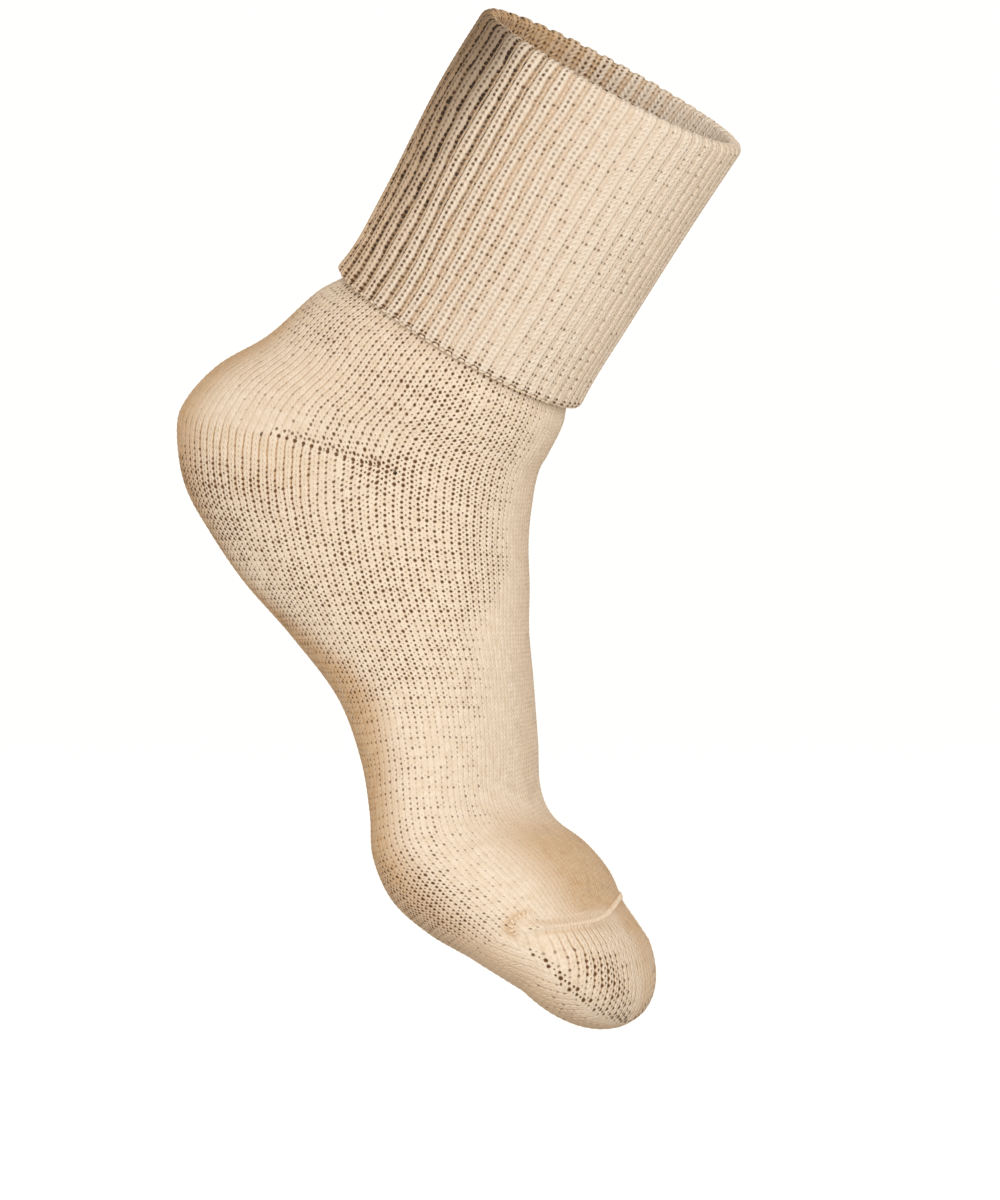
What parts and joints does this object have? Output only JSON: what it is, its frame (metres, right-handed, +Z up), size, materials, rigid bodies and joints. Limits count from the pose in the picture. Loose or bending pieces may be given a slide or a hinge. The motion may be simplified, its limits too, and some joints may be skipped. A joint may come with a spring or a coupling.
{
  "type": "diabetic sock",
  "caption": "Worn-shape knitted sock with a wide ribbed turned-down cuff, reciprocated heel and toe pockets and a linked seam over the toes; hollow, open at the leg.",
  "frame": {"origin": "middle of the leg opening, on the crest of the fold where the cuff turns down", "axes": "+Z up, +X towards the front of the leg and the toes, +Y across; the XZ plane is the plane of symmetry"},
  "size_m": [0.1642, 0.0872, 0.2866],
  "materials": {
    "plain_knit": "matt undyed cotton, plain knit",
    "rib_knit": "matt undyed cotton, one-and-one rib"
  },
  "bodies": {
    "root": {"leg_tube": "plain_knit", "heel_pocket": "plain_knit", "foot_tube": "plain_knit", "toe_pocket": "plain_knit", "turned_cuff": "rib_knit"}
  },
  "joints": []
}
